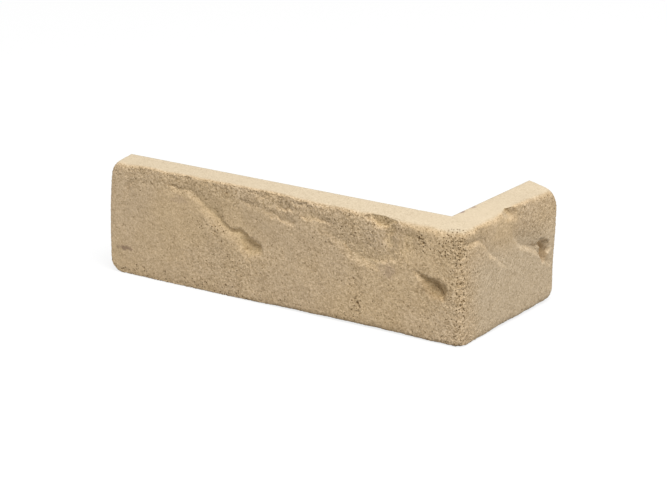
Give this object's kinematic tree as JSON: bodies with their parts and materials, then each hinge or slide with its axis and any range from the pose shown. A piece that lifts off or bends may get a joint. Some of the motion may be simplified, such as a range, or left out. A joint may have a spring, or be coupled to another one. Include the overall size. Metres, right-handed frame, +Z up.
{
  "type": "concrete corner brick slip",
  "caption": "L-shaped cast concrete facing slip that wraps the outer corner of a wall; flat backs for adhesive, riven brick-like outer faces.",
  "frame": {"origin": "inner corner of the two flat backs, at the level of the bed that the slip stands on", "axes": "+X out of the short leg's riven face, with the long leg lying along -X; +Y along the short leg away from the corner; +Z up"},
  "size_m": [0.24, 0.102, 0.067],
  "materials": {
    "concrete": "sand-coloured cast concrete, matt, fine sandy grain with small air holes"
  },
  "bodies": {
    "root": {"corner_brick_slip": "concrete"}
  },
  "joints": []
}
